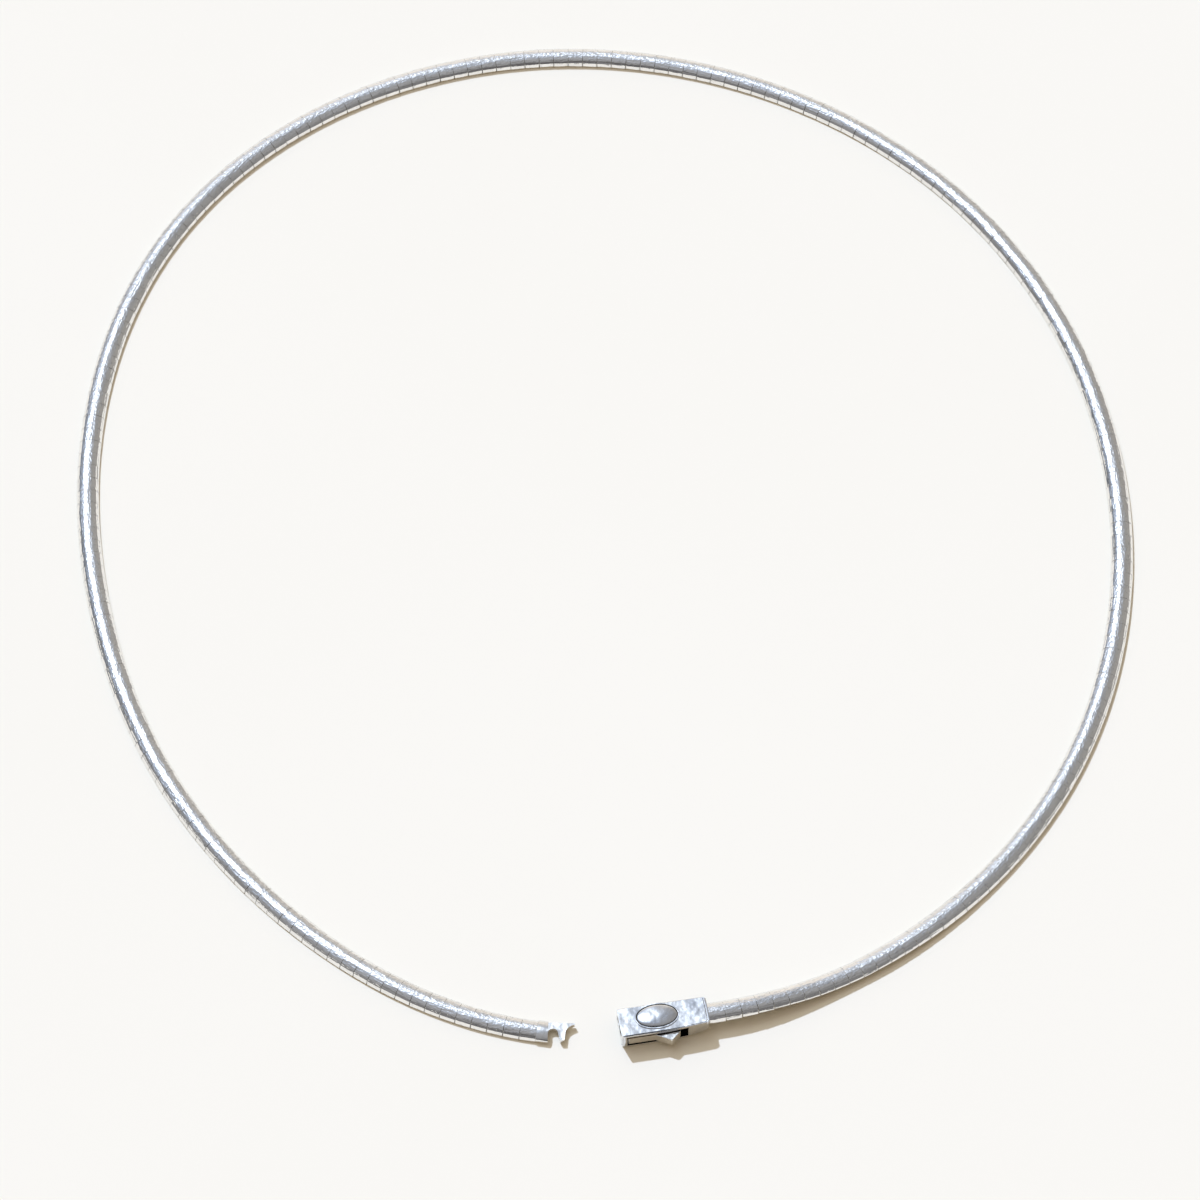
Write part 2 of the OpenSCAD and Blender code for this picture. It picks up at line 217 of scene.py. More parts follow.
def side_centre():
    """Centre of the arc of a side, which leans inwards and bulges a little."""
    lean = math.radians(SIDE_SLANT)
    reach = SIDE_R - LOWER_R
    return HALF_W - LOWER_R - reach * math.cos(lean), LOWER_R - reach * math.sin(lean)


def side_top():
    """Centre of a shoulder's arc and the slope at which the side runs into it."""
    side_y, side_z = side_centre()
    slope = math.asin((SIDE_H - side_z) / SIDE_R)
    reach = SIDE_R - SHOULDER_R
    return (side_y + reach * math.cos(slope), side_z + reach * math.sin(slope)), math.degrees(slope)


def crown_circle():
    """Radius of the crown, its slope where it meets a shoulder, and the height of its centre."""
    (shoulder_y, shoulder_z), _ = side_top()
    height = CHAIN_H - shoulder_z
    radius = (shoulder_y**2 + height**2 - SHOULDER_R**2) / (2 * (height - SHOULDER_R))
    reach = math.degrees(math.asin(shoulder_y / (radius - SHOULDER_R)))
    return radius, reach, CHAIN_H - radius


def dome(crown_steps, shoulder_steps, side_steps):
    """The chain's surface from the foot of one side over the crown to the foot of the other."""
    (shoulder_y, shoulder_z), slope = side_top()
    radius, reach, centre_z = crown_circle()
    side_y, side_z = side_centre()
    right = arc((side_y, side_z), SIDE_R, SIDE_SLANT, slope, side_steps)[:-1]
    right += arc((shoulder_y, shoulder_z), SHOULDER_R, slope, 90 - reach, shoulder_steps)
    top = arc((0, centre_z), radius, 90 - reach, 90 + reach, crown_steps, ends=False)
    left = arc((-shoulder_y, shoulder_z), SHOULDER_R, 90 + reach, 180 - slope, shoulder_steps)
    left += arc((-side_y, side_z), SIDE_R, 180 - slope, 180 - SIDE_SLANT, side_steps)[1:]
    return right + top + left


def dome_inside(steps):
    """The underside of the dome, from one upright side to the other."""
    radius, _, centre_z = crown_circle()
    half = HALF_W - SHEET_T
    turn = math.degrees(math.asin(half / (radius - SHEET_T)))
    return arc((0, centre_z), radius - SHEET_T, 90 + turn, 90 - turn, steps)


def new_object(name, vertices, faces, smooth=True):
    mesh = bpy.data.meshes.new(name)
    mesh.from_pydata(vertices, [], faces)
    mesh.update()
    if smooth:
        mesh.polygons.foreach_set("use_smooth", [True] * len(mesh.polygons))
    obj = bpy.data.objects.new(name, mesh)
    bpy.context.scene.collection.objects.link(obj)
    return obj


def face_outwards(obj):
    """Turns all faces of a closed mesh outwards."""
    bm = bmesh.new()
    bm.from_mesh(obj.data)
    bmesh.ops.recalc_face_normals(bm, faces=bm.faces)
    bm.to_mesh(obj.data)
    bm.free()


def set_uv(obj, values):
    """One UV per vertex, in millimetres."""
    layer = obj.data.uv_layers.new(name="length_across")
    loops = np.zeros(len(obj.data.loops), np.int32)
    obj.data.loops.foreach_get("vertex_index", loops)
    layer.data.foreach_set("uv", np.asarray(values, np.float32)[loops].ravel())


# The plates

def plate_sections():
    """The plate's closed section: points from one lip over the dome to the other lip, and back inside."""
    low = HALF_W - LOWER_R
    outer = [(HALF_W - LIP_W, 0.0), (HALF_W - LIP_W / 2 - LOWER_R / 2, 0.0)]
    outer += arc((low, LOWER_R), LOWER_R, -90, SIDE_SLANT, 4)[:-1]
    outer += dome(12, 4, 3)
    outer += arc((-low, LOWER_R), LOWER_R, 180 - SIDE_SLANT, 270, 4)[1:]
    outer += [(-(HALF_W - LIP_W / 2 - LOWER_R / 2), 0.0), (-(HALF_W - LIP_W), 0.0)]
    inner_half = HALF_W - SHEET_T
    inner = [(-(HALF_W - LIP_W), SHEET_T), (-inner_half, SHEET_T)]
    inner += dome_inside(6)
    inner += [(inner_half, SHEET_T), (HALF_W - LIP_W, SHEET_T)]
    return outer, inner


def plates_object(name, first, last, seed):
    """Plates first to last as one mesh: bent sheet with soft edges and gaps that are wider at the sides."""
    draw = random.Random(seed)
    outer, inner = plate_sections()
    loop = outer + inner
    count = len(loop)
    across = [0.0]
    for a, b in zip(loop, loop[1:]):
        across.append(across[-1] + math.dist(a, b))
    # each ring of a plate: distance from its end and inset from the full section, in edge radii
    near_end = ((0.0, 1.0), (0.3, 0.3), (1.0, 0.0), (2.5, 0.0))
    rings = [(-1, d, inset) for d, inset in near_end] + [(1, d, inset) for d, inset in near_end[::-1]]
    rows = len(rings)
    vertices, faces, uvs = [], [], []
    for k in range(first, last + 1):
        s = (k + 0.5) * PITCH
        turn = heading((k + 0.5) / PLATES)
        turn_rate = math.radians(heading((k + 1) / PLATES) - heading(k / PLATES)) / PITCH
        climb = climb_at(s)
        climb_rate = (climb_at(s + PITCH / 2) - climb_at(s - PITCH / 2)) / PITCH
        lean, roll, yaw, shift = (draw.gauss(0, 1) for _ in range(4))
        middle = (ROUTE[k] + ROUTE[k + 1]) / 2
        matrix = place_matrix(middle, turn + YAW_SPREAD * yaw, rise(s) + lifted(s), -math.degrees(climb))
        matrix = matrix @ Matrix.Rotation(math.radians(LEAN_SPREAD * lean), 4, "Y")
        matrix = matrix @ Matrix.Rotation(math.radians(ROLL_SPREAD * roll + rolled(s)), 4, "X")
        base = len(vertices)
        for end, back, inset in rings:
            for (y, z), a in zip(loop, across):
                side = (abs(y) / HALF_W) ** 1.3
                edge = EDGE_TOP + EDGE_SIDE * side
                mitre = 1 - y * turn_rate - z * climb_rate
                x = end * ((PITCH - GAP_TOP - GAP_SIDE * side) / 2 - back * edge) * mitre
                over = z - SECTION_MIDDLE
                shrink = 1 - inset * edge / math.hypot(y, over) if a <= across[len(outer) - 1] else 1.0
                p = matrix @ Vector((x, y * shrink, max(SECTION_MIDDLE + over * shrink, 0.0)))
                vertices.append((p.x * MM, p.y * MM, max(p.z, 0.0) * MM))
                uvs.append((s + x, a + PATTERN_SPREAD * shift))
        for r in range(rows - 1):
            for i in range(count):
                j = (i + 1) % count
                a, b = base + r * count + i, base + r * count + j
                faces.append((a, a + count, b + count, b))
        # end faces join the outer and the inner line of the sheet
        for ring_base in (base, base + (rows - 1) * count):
            strip_out = [ring_base + i for i in range(len(outer))]
            strip_in = [ring_base + count - 1 - i for i in range(len(inner))]
            faces += zip_strip(strip_out, strip_in)
    obj = new_object(name, vertices, faces)
    face_outwards(obj)
    set_uv(obj, uvs)
    return obj


def zip_strip(line_a, line_b):
    """Faces between two lines of vertices that run side by side, with different numbers of points."""
    made = []
    i = j = 0
    while i < len(line_a) - 1 or j < len(line_b) - 1:
        if j == len(line_b) - 1 or (i < len(line_a) - 1 and (i + 1) / len(line_a) <= (j + 1) / len(line_b)):
            made.append((line_a[i], line_a[i + 1], line_b[j]))
            i += 1
        else:
            made.append((line_a[i], line_b[j + 1], line_b[j]))
            j += 1
    return made


# The woven core: a flat ribbon whose surface rises and falls over its crossing wires

def core_object(name):
    """The ribbon inside the plates, with the weave's waves on its upper side."""
    half = HALF_W - SHEET_T - CLEAR
    low = SHEET_T + CLEAR
    high = CHAIN_H - SHEET_T - CLEAR
    wire_step = 2 * half / CORE_WIRES
    start, end = CORE_ENDS
    rings = int((end - start) / (wire_step / 3))
    shape = []
    for i in range(2 * CORE_WIRES + 1):
        y = half * (1 - i / CORE_WIRES)
        t = min(abs(y) / half, 1)
        shape.append((y, high - (high - CORE_EDGE_H) * t**2.2))
    loop = shape + [(share * half, low) for share in (-0.8, 0.0, 0.8)]
    count = len(loop)
    vertices, uvs = [], []
    for r in range(rings + 1):
        s = start + (end - start) * r / rings
        place, turn = route_at(s)
        side = unit(turn + 90)
        roll = math.radians(rolled(s))
        for i, (y, z) in enumerate(loop):
            up = 1 if i < len(shape) else -1
            wave = math.sin(math.pi * (y / wire_step + s / wire_step))
            wave *= math.sin(math.pi * (y / wire_step - s / wire_step))
            edge = max(0.0, 1 - (abs(y) / half) ** 6)
            z_wave = z + up * CORE_WAVE * (wave - 1) * edge
            p = place + side * (y * math.cos(roll) - z_wave * math.sin(roll))
            height = rise(s) + lifted(s) + y * math.sin(roll) + z_wave * math.cos(roll)
            vertices.append((p[0] * MM, p[1] * MM, max(height, CORE_FLOOR) * MM))
            uvs.append((s, y + 4 * (i >= len(shape))))
    faces = []
    for r in range(rings):
        for i in range(count):
            j = (i + 1) % count
            a, b = r * count + i, r * count + j
            faces.append((a, a + count, b + count, b))
    faces.append(tuple(range(count)))
    faces.append(tuple(rings * count + count - 1 - i for i in range(count)))
    obj = new_object(name, vertices, faces)
    face_outwards(obj)
    set_uv(obj, uvs)
    return obj


# Pieces dressed over the shape of a CAD node

def clean_copy(node, name):
    """A new object with the node's shape as clean flat faces."""
    mesh = bpy.data.meshes.new(name)
    bm = bmesh.new()
    bm.from_mesh(CAD[node].data)
    bmesh.ops.remove_doubles(bm, verts=bm.verts, dist=2e-7)
    bmesh.ops.dissolve_limit(bm, angle_limit=math.radians(0.5), verts=bm.verts, edges=bm.edges)
    bm.to_mesh(mesh)
    bm.free()
    obj = bpy.data.objects.new(name, mesh)
    bpy.context.scene.collection.objects.link(obj)
    return obj


def bake_modifiers(obj):
    """Applies the object's modifiers to its mesh."""
    graph = bpy.context.evaluated_depsgraph_get()
    mesh = bpy.data.meshes.new_from_object(obj.evaluated_get(graph))
    obj.modifiers.clear()
    obj.data = mesh


def carve(obj, cutter):
    """Cuts another object out of this one and removes the cutter."""
    change = obj.modifiers.new("cut", "BOOLEAN")
    change.operation = "DIFFERENCE"
    change.solver = "EXACT"
    change.object = cutter
    bake_modifiers(obj)
    bpy.data.objects.remove(cutter)


def soften(obj, width, segments=3, angle=28):
    """Rounds the sharp edges, width in millimetres."""
    bevel = obj.modifiers.new("edges", "BEVEL")
    bevel.width = width * MM
    bevel.segments = segments
    bevel.limit_method = "ANGLE"
    bevel.angle_limit = math.radians(angle)
    bevel.use_clamp_overlap = True
    bake_modifiers(obj)
    bm = bmesh.new()
    bm.from_mesh(obj.data)
    bmesh.ops.dissolve_degenerate(bm, dist=1e-7, edges=bm.edges)
    bm.to_mesh(obj.data)
    bm.free()
    shade(obj)
    weights = obj.modifiers.new("flat_faces", "WEIGHTED_NORMAL")
    weights.keep_sharp = True


def shade(obj, angle=32):
    """Smooth shading with sharp edges kept sharp."""
    mesh = obj.data
    mesh.polygons.foreach_set("use_smooth", [True] * len(mesh.polygons))
    mesh.set_sharp_from_angle(angle=math.radians(angle))


def swept_cutter(path, half_width, low, high, matrix):
    """A thin upright wall along a path, in a piece's own frame."""
    points = [Vector((x, y)) for x, y in path]
    left, right = [], []
    for i, p in enumerate(points):
        before = points[max(i - 1, 0)]
        after = points[min(i + 1, len(points) - 1)]
        along = (after - before).normalized()
        side = Vector((-along.y, along.x)) * half_width
        left.append(p + side)
        right.append(p - side)
    outline = left + right[::-1]
    count = len(outline)
    vertices = [tuple((matrix @ Vector((p.x, p.y, z))) * MM) for z in (low, high) for p in outline]
    faces = [(i, (i + 1) % count, (i + 1) % count + count, i + count) for i in range(count)]
    n = len(points)
    for i in range(n - 1):
        a, b, c, d = i, i + 1, count - 2 - i, count - 1 - i
        faces.append((d, c, b, a))
        faces.append((a + count, b + count, c + count, d + count))
    return cutter_object(vertices, faces)


def cutter_object(vertices, faces):
    """A plain closed body for carve."""
    obj = new_object("cutter", vertices, faces, smooth=False)
    face_outwards(obj)
    return obj


def corner_cutter(corner, radius, matrix):
    """What has to go where an upright corner of a piece is rounded, in the piece's own frame."""
    x, y = corner
    past = 0.2
    out = math.copysign(1, y)
    centre = (x - radius, y - out * radius)
    outline = [(x + past, centre[1]), (x + past, y + out * past), (centre[0], y + out * past)]
    outline += [(cx, centre[1] + out * cy) for cx, cy in arc((centre[0], 0.0), radius, 90, 0, 6)]
    count = len(outline)
    vertices = [tuple((matrix @ Vector((px, py, z))) * MM) for z in (-past, 3 + past) for px, py in outline]
    faces = [(i, (i + 1) % count, (i + 1) % count + count, i + count) for i in range(count)]
    faces += [tuple(range(count)), tuple(range(2 * count - 1, count - 1, -1))]
    return cutter_object(vertices, faces)


def clasp_object(name):
    """The clasp's box with the fine groove along its top's edge and rounded rear corners."""
    obj = clean_copy("clasp_box", name)
    carve(obj, swept_cutter(GROOVE_NEAR + GROOVE_REAR, GROOVE_HALF_W, *GROOVE_Z, CLASP))
    for y in (REAR_W / 2, -REAR_W / 2):
        carve(obj, corner_cutter((CLASP_L, y), REAR_CORNER_R, CLASP))
    soften(obj, 0.05, 2)
    return obj


def dome_object(name):
    """The smooth oval dome over the clasp's top."""
    low = CLASP_H - OVAL_SEAT + OVAL_GAP
    tall = OVAL_SEAT - OVAL_GAP + OVAL_RISE
    # each ring: share of the oval's size and of the dome's height
    rows = [(1.0, 0.0), (1.0, 0.2), (0.997, 0.34)]
    steps = 14
    for i in range(1, steps):
        t = i / steps * math.pi / 2
        rows.append((math.cos(t) ** 0.92 * 0.997, 0.34 + 0.66 * math.sin(t) ** 0.95))
    corners = 72
    vertices, faces = [], []
    for share, height in rows:
        for i in range(corners):
            t = 2 * math.pi * i / corners
            x = OVAL_AT[0] + OVAL_HALF[0] * share * math.cos(t)
            y = OVAL_AT[1] + OVAL_HALF[1] * share * math.sin(t)
            vertices.append(tuple((CLASP @ Vector((x, y, low + tall * height))) * MM))
    vertices.append(tuple((CLASP @ Vector((*OVAL_AT, low + tall))) * MM))
    for r in range(len(rows) - 1):
        for i in range(corners):
            j = (i + 1) % corners
            a, b = r * corners + i, r * corners + j
            faces.append((a, b, b + corners, a + corners))
    last = (len(rows) - 1) * corners
    for i in range(corners):
        faces.append((last + i, last + (i + 1) % corners, len(vertices) - 1))
    faces.append(tuple(range(corners - 1, -1, -1)))
    obj = new_object(name, vertices, faces)
    shade(obj, 60)
    return obj


# Materials

def new_material(name):
    """A material with its node tree, the tree's links and its shader."""
    material = bpy.data.materials.new(name)
    material.use_nodes = True
    tree = material.node_tree
    return material, tree, tree.links, tree.nodes["Principled BSDF"]


def noise(tree, vector, scale, detail=3.0, roughness=0.5, distortion=0.0):
    """Noise value, with scale in features per unit of the vector."""
    node = tree.nodes.new("ShaderNodeTexNoise")
    node.inputs["Scale"].default_value = scale
    node.inputs["Detail"].default_value = detail
    node.inputs["Roughness"].default_value = roughness
    node.inputs["Distortion"].default_value = distortion
    tree.links.new(vector, node.inputs["Vector"])
    return node.outputs["Fac"]


def stretch(tree, vector, scale):
    node = tree.nodes.new("ShaderNodeMapping")
    node.inputs["Scale"].default_value = scale
    tree.links.new(vector, node.inputs["Vector"])
    return node.outputs["Vector"]


def ramp(tree, value, low, high, out_low=0.0, out_high=1.0):
    """Maps low to high onto out_low to out_high and clamps."""
    node = tree.nodes.new("ShaderNodeMapRange")
    for key, number in (("From Min", low), ("From Max", high), ("To Min", out_low), ("To Max", out_high)):
        node.inputs[key].default_value = number
    tree.links.new(value, node.inputs["Value"])
    return node.outputs["Result"]


def mix_colour(tree, share, low, high):
    node = tree.nodes.new("ShaderNodeMix")
    node.data_type = "RGBA"
    for key, colour in (("A", low), ("B", high)):
        socket = [s for s in node.inputs if s.name == key and s.type == "RGBA"][0]
        if isinstance(colour, tuple):
            socket.default_value = (*colour, 1.0)
        else:
            tree.links.new(colour, socket)
    tree.links.new(share, node.inputs["Factor"])
    return [s for s in node.outputs if s.type == "RGBA"][0]


def combine(tree, operation, a, b=0.0):
    """One step of arithmetic on values or constants."""
    node = tree.nodes.new("ShaderNodeMath")
    node.operation = operation
    for socket, value in zip(node.inputs, (a, b)):
        if isinstance(value, (int, float)):
            socket.default_value = value
        else:
            tree.links.new(value, socket)
    return node.outputs[0]


def bump(tree, height, strength, distance, below=None):
    """Relief of a height value, distance in millimetres, over the relief below it."""
    node = tree.nodes.new("ShaderNodeBump")
    node.inputs["Strength"].default_value = strength
    node.inputs["Distance"].default_value = distance * MM
    tree.links.new(height, node.inputs["Height"])
    if below is not None:
        tree.links.new(below, node.inputs["Normal"])
    return node.outputs["Normal"]


def coordinates(tree, uv=False):
    """Place on the object in metres, or its UV: along and across in millimetres."""
    node = tree.nodes.new("ShaderNodeTexCoord")
    return node.outputs["UV" if uv else "Object"]


def chain_silver():
    """Polished silver: lengthwise drawing lines, small specks and patches polished less; plain at the sides."""
    material, tree, links, shader = new_material("chain_silver")
    along = coordinates(tree, uv=True)
    outer, _ = plate_sections()
    half_round = sum(math.dist(a, b) for a, b in zip(outer, outer[1:])) / 2
    parts = tree.nodes.new("ShaderNodeSeparateXYZ")
    links.new(along, parts.inputs[0])
    off_middle = combine(tree, "ABSOLUTE", combine(tree, "SUBTRACT", parts.outputs[1], half_round))
    on_crown = ramp(tree, off_middle, half_round - 1.3, half_round - 1.5, 0.25, 1.0)
    # patterns by their number of features per millimetre along and across
    hair = noise(tree, stretch(tree, along, (0.5, 7.0, 1.0)), 1.0, 1.0, 0.6)
    streaks = noise(tree, stretch(tree, along, (0.3, 2.8, 1.0)), 1.0, 1.0, 0.5)
    specks = noise(tree, stretch(tree, along, (2.0, 3.4, 1.0)), 1.0, 1.0, 0.5)
    clouds = noise(tree, stretch(tree, along, (0.4, 1.0, 1.0)), 1.0, 2.0, 0.5)
    tint = mix_colour(tree, ramp(tree, clouds, 0.35, 0.65), (0.87, 0.855, 0.83), (0.94, 0.925, 0.90))
    dull = ramp(tree, specks, 0.6, 0.74)
    links.new(mix_colour(tree, dull, tint, (0.74, 0.74, 0.74)), shader.inputs["Base Color"])
    haze = combine(tree, "ADD", combine(tree, "ADD", streaks, specks), clouds)
    links.new(ramp(tree, haze, 1.2, 1.8, 0.05, 0.12), shader.inputs["Roughness"])
    shader.inputs["Metallic"].default_value = 1.0
    normal = bump(tree, hair, 1.0, 0.01)
    normal = bump(tree, combine(tree, "MULTIPLY", streaks, on_crown), 1.0, 0.04, normal)
    normal = bump(tree, combine(tree, "MULTIPLY", specks, on_crown), 1.0, 0.05, normal)
    links.new(bump(tree, clouds, 1.0, 0.03, normal), shader.inputs["Normal"])
    return material


def product(tree, *factors):
    """All factors multiplied."""
    total = factors[0]
    for factor in factors[1:]:
        total = combine(tree, "MULTIPLY", total, factor)
    return total


def recess(tree, outer_y):
    """Share of painted shade and tarnish: full inside the clasp and at its slot, less in the groove round its
    oval, none outside.
    """
    local = tree.nodes.new("ShaderNodeMapping")
    local.vector_type = "TEXTURE"
    local.inputs["Location"].default_value = (CLASP_AT[0] * MM, CLASP_AT[1] * MM, 0.0)
    local.inputs["Rotation"].default_value = (0.0, 0.0, math.radians(CLASP_TURN))
    local.inputs["Scale"].default_value = (MM, MM, MM)
    tree.links.new(coordinates(tree), local.inputs["Vector"])
    parts = tree.nodes.new("ShaderNodeSeparateXYZ")
    tree.links.new(local.outputs["Vector"], parts.inputs[0])
    along, across, up = parts.outputs

    def slope(start, rate):
        rear = combine(tree, "SUBTRACT", along, start)
        return combine(tree, "MAXIMUM", combine(tree, "MULTIPLY", rear, rate), 0.0)

    depth = combine(tree, "SUBTRACT", combine(tree, "SUBTRACT", across, outer_y), slope(TAPER_FROM, TAPER_SLOPE))
    low = slope(BELLY_FROM, BELLY_SLOPE)
    # painted shade and tarnish on the faces inside the clasp's sides and over its belly
    inside = product(
        tree,
        ramp(tree, depth, 0.04, 0.14),
        ramp(tree, across, 1.84, 1.72),
        ramp(tree, along, 0.06, 0.2),
        ramp(tree, along, 10.5, 10.4),
        ramp(tree, combine(tree, "SUBTRACT", up, low), 0.03, 0.1),
        ramp(tree, up, 2.4, 2.34),
    )
    # painted shade and tarnish in the groove round the oval
    x = combine(tree, "DIVIDE", combine(tree, "SUBTRACT", along, OVAL_AT[0]), OVAL_GROOVE[0])
    y = combine(tree, "DIVIDE", combine(tree, "SUBTRACT", across, OVAL_AT[1]), OVAL_GROOVE[1])
    size = combine(tree, "ADD", combine(tree, "MULTIPLY", x, x), combine(tree, "MULTIPLY", y, y))
    groove = product(tree, ramp(tree, size, 1.06, 1.0), ramp(tree, up, 2.6, 2.52), GROOVE_SHADE_AND_TARNISH)
    # painted shade and tarnish along the edges of the slot
    beside_slot = combine(tree, "ABSOLUTE", combine(tree, "SUBTRACT", up, SLOT_MIDDLE))
    slot_edge = product(
        tree,
        ramp(tree, beside_slot, 0.19, 0.12),
        ramp(tree, along, 0.5, 0.6),
        ramp(tree, along, 8.1, 8.0),
        ramp(tree, depth, -0.08, -0.02),
    )
    return combine(tree, "MAXIMUM", combine(tree, "MAXIMUM", inside, groove), slot_edge)


def clasp_silver(name, tint_low, tint_high, rough_low, rough_high, outer_y=None):
    """Sheet metal with scratches every way and small dents; painted shade and tarnish in its recesses where
    outer_y is given.
    """
    material, tree, links, shader = new_material(name)
    place = coordinates(tree)
    broad = noise(tree, place, 380.0, 1.0, 0.5)
    clouds = noise(tree, place, 420.0, 5.0, 0.6, 0.4)
    scratch_a = noise(tree, stretch(tree, place, (260.0, 5200.0, 900.0)), 1.0, 3.0, 0.6)
    scratch_b = noise(tree, stretch(tree, place, (4200.0, 380.0, 900.0)), 1.0, 3.0, 0.6)
    scratches = combine(tree, "MAXIMUM", scratch_a, scratch_b)
    dent = noise(tree, place, 1300.0, 1.0, 0.5)
    tint = mix_colour(tree, ramp(tree, clouds, 0.35, 0.7), tint_low, tint_high)
    if outer_y is not None:
        # the recesses' painted shade and tarnish darkens the base colour
        tint = mix_colour(tree, recess(tree, outer_y), tint, SHADE_AND_TARNISH)
    links.new(tint, shader.inputs["Base Color"])
    haze = combine(tree, "ADD", scratches, clouds)
    links.new(ramp(tree, haze, 0.8, 1.4, rough_low, rough_high), shader.inputs["Roughness"])
    shader.inputs["Metallic"].default_value = 1.0
    normal = bump(tree, scratches, 1.0, 0.006)
    normal = bump(tree, dent, 1.0, 0.05, normal)
    links.new(bump(tree, broad, 1.0, 0.2, normal), shader.inputs["Normal"])
    return material


def core_metal():
    """Darkened woven silver with fine strands."""
    material, tree, links, shader = new_material("core_mesh_metal")
    along = coordinates(tree, uv=True)
    strands = noise(tree, stretch(tree, along, (9.0, 9.0, 1.0)), 1.0, 3.0, 0.6)
    tint = mix_colour(tree, ramp(tree, strands, 0.3, 0.7), (0.16, 0.12, 0.08), (0.55, 0.5, 0.42))
    links.new(tint, shader.inputs["Base Color"])
    links.new(ramp(tree, strands, 0.3, 0.7, 0.5, 0.3), shader.inputs["Roughness"])
    shader.inputs["Metallic"].default_value = 1.0
    links.new(bump(tree, strands, 0.4, 0.03), shader.inputs["Normal"])
    return material


def table_paper():
    """Matt cream paper with a fine tooth."""
    material, tree, links, shader = new_material("table_paper")
    place = coordinates(tree)
    clouds = noise(tree, place, 9.0, 4.0, 0.55)
    tooth = noise(tree, place, 900.0, 4.0, 0.6)
    tint = mix_colour(tree, ramp(tree, clouds, 0.3, 0.7), (0.895, 0.815, 0.615), (0.905, 0.825, 0.625))
    links.new(tint, shader.inputs["Base Color"])
    shader.inputs["Roughness"].default_value = 0.85
    shader.inputs["Specular IOR Level"].default_value = 0.2
    links.new(bump(tree, tooth, 0.12, 0.05), shader.inputs["Normal"])
    return material


def dress(obj, body, material, slot, *nodes):
    """Gives a piece its material and its body, and hides the nodes that it replaces. The slot argument is not
    used.
    """
    obj.data.materials.clear()
    obj.data.materials.append(material)
    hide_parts(*nodes)
    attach(obj, body)


# The pieces, each on its body. outer_y is the clasp's outer side, for its painted shade and tarnish

silver = chain_silver()
flat = clasp_silver("clasp_plate_silver", (0.68, 0.69, 0.71), (0.93, 0.92, 0.90), 0.08, 0.22, outer_y=-2.1)
bright = clasp_silver("lever_silver", (0.80, 0.79, 0.77), (0.95, 0.94, 0.91), 0.08, 0.22, outer_y=-2.07)

dress(plates_object("chain_left_plates", 0, LEFT_PLATES - 1, 5), "necklace", silver, "silver", "chain_left")
dress(plates_object("chain_right_plates", LEFT_PLATES, PLATES - 1, 6), "necklace", silver, "silver", "chain_right")
dress(core_object("woven_core"), "necklace", core_metal(), "core_mesh", "core")
dress(clasp_object("clasp_body"), "necklace", flat, "silver_flat", "clasp_box")
dress(dome_object("clasp_dome"), "necklace", flat, "silver_dome", "clasp_oval")

tongue = clean_copy("tongue", "tongue_and_cap")
soften(tongue, 0.09, 3)
dress(tongue, "necklace", bright, "silver_flat", "tongue")

lever = clean_copy("lever", "push_lever")
soften(lever, 0.1, 3)
dress(lever, "lever", bright, "silver_lever", "lever")

pin_metal = clasp_silver("pin_steel", (0.5, 0.5, 0.5), (0.62, 0.62, 0.62), 0.3, 0.45)
CAD["lever_pin"].data.materials.clear()
CAD["lever_pin"].data.materials.append(pin_metal)

# The stage: table, light and camera

TABLE_X = 0.7
TABLE_NEAR = -0.7
TABLE_FAR = 0.9
corners = [(-TABLE_X, TABLE_NEAR, 0.0), (TABLE_X, TABLE_NEAR, 0.0)]
corners += [(TABLE_X, TABLE_FAR, 0.0), (-TABLE_X, TABLE_FAR, 0.0)]
table = new_object("table", corners, [(0, 1, 2, 3)], smooth=False)
table.data.materials.append(table_paper())


def direction(azimuth, elevation):
    """Unit vector towards a direction; azimuth from +Y towards +X."""
    a, e = math.radians(azimuth), math.radians(elevation)
    return Vector((math.sin(a) * math.cos(e), math.cos(a) * math.cos(e), math.sin(e)))


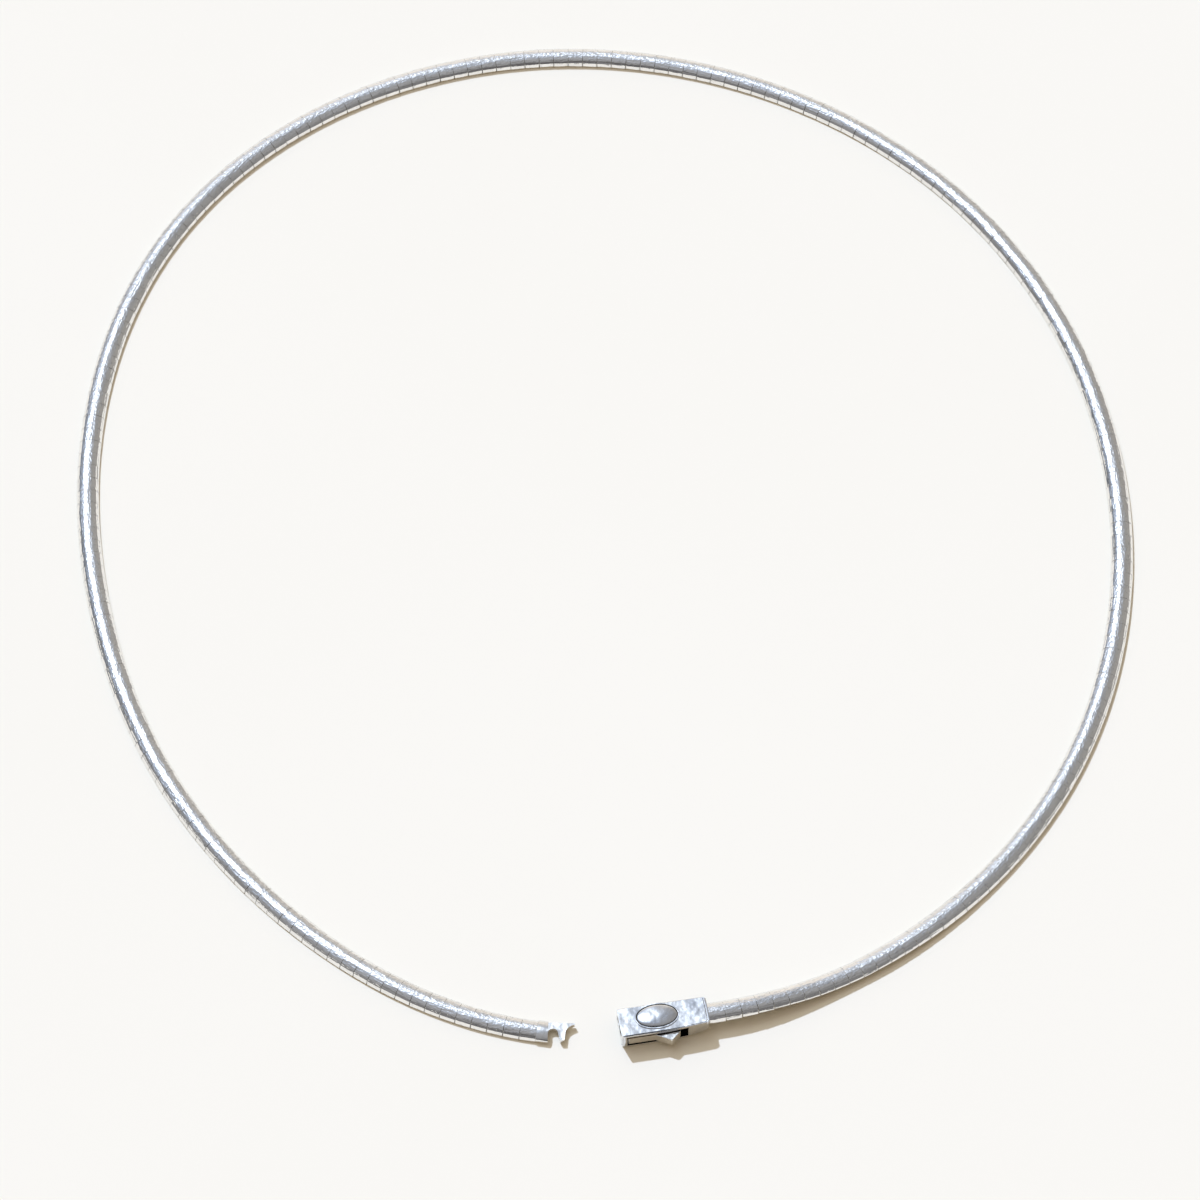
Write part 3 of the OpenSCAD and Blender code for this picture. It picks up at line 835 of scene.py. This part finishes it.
def studio_world():
    """A plain studio: an even base with a few soft bright and dark fields."""
    base = (0.25, 0.25, 0.255)
    # azimuth, elevation, width in degrees, colour added
    fields = (
        (-33, 56, 10.5, (2.0, 2.0, 1.9)),
        (-36, 57, 16, (0.30, 0.50, 0.86)),
        (-30, 30, 18, (0.0, 0.04, 0.12)),
        (-5, 10, 19, (0.72, 0.65, 0.56)),
        (170, 76, 25, (0.12, 0.125, 0.135)),
        (-124, 52, 20, (0.07, 0.07, 0.08)),
        (60, 20, 22, (0.10, 0.09, 0.07)),
        (180, 14, 28, (-0.16, -0.165, -0.17)),
        (-62, 5, 13, (-0.10, -0.09, -0.08)),
    )
    world = bpy.data.worlds.new("studio")
    bpy.context.scene.world = world
    world.use_nodes = True
    tree = world.node_tree
    background = tree.nodes["Background"]
    where = tree.nodes.new("ShaderNodeTexCoord").outputs["Generated"]
    total = None
    for azimuth, elevation, width, colour in fields:
        dot = tree.nodes.new("ShaderNodeVectorMath")
        dot.operation = "DOT_PRODUCT"
        dot.inputs[1].default_value = direction(azimuth, elevation)
        tree.links.new(where, dot.inputs[0])
        sharpness = 1 / math.radians(width) ** 2
        away = combine(tree, "SUBTRACT", dot.outputs["Value"], 1.0)
        lobe = combine(tree, "EXPONENT", combine(tree, "MULTIPLY", away, sharpness))
        scaled = tree.nodes.new("ShaderNodeVectorMath")
        scaled.operation = "SCALE"
        scaled.inputs[0].default_value = colour
        tree.links.new(lobe, scaled.inputs["Scale"])
        joined = tree.nodes.new("ShaderNodeVectorMath")
        joined.operation = "ADD"
        tree.links.new(scaled.outputs[0], joined.inputs[0])
        if total is None:
            joined.inputs[1].default_value = base
        else:
            tree.links.new(total, joined.inputs[1])
        total = joined.outputs[0]
    tree.links.new(total, background.inputs["Color"])


studio_world()


def soft_light(name, energy, colour, angle, where):
    """A distant light for the table's light and shade; the silver mirrors the studio's fields instead."""
    data = bpy.data.lights.new(name, "SUN")
    data.energy = energy
    data.color = colour
    data.angle = math.radians(angle)
    light = bpy.data.objects.new(name, data)
    light.rotation_euler = where.to_track_quat("Z", "Y").to_euler()
    light.visible_glossy = False
    bpy.context.scene.collection.objects.link(light)


soft_light("key", energy=4.2, colour=(0.518, 0.648, 1.0), angle=1.6, where=direction(-27.6, 44.6))
soft_light("fill", energy=0.36, colour=(1.0, 0.5, 0.1), angle=150, where=direction(0, 90))

# Camera at the photo's angle: 55 degrees above the table, looking along +Y
AIM = Vector((-0.398, -11.895, 0.0)) * MM
DISTANCE = 809.9 * MM
LOOK_DOWN = math.radians(55)
LENS = 195
SENSOR = 36
camera_data = bpy.data.cameras.new("camera")
camera_data.lens = LENS
camera_data.sensor_width = SENSOR
camera_data.clip_start = 0.01
camera = bpy.data.objects.new("camera", camera_data)
camera.location = AIM + DISTANCE * Vector((0, -math.cos(LOOK_DOWN), math.sin(LOOK_DOWN)))
camera.rotation_euler = (math.radians(90) - LOOK_DOWN, 0, 0)
bpy.context.scene.collection.objects.link(camera)
bpy.context.scene.camera = camera

bpy.context.scene.view_settings.view_transform = "Standard"
bpy.context.scene.view_settings.look = "None"
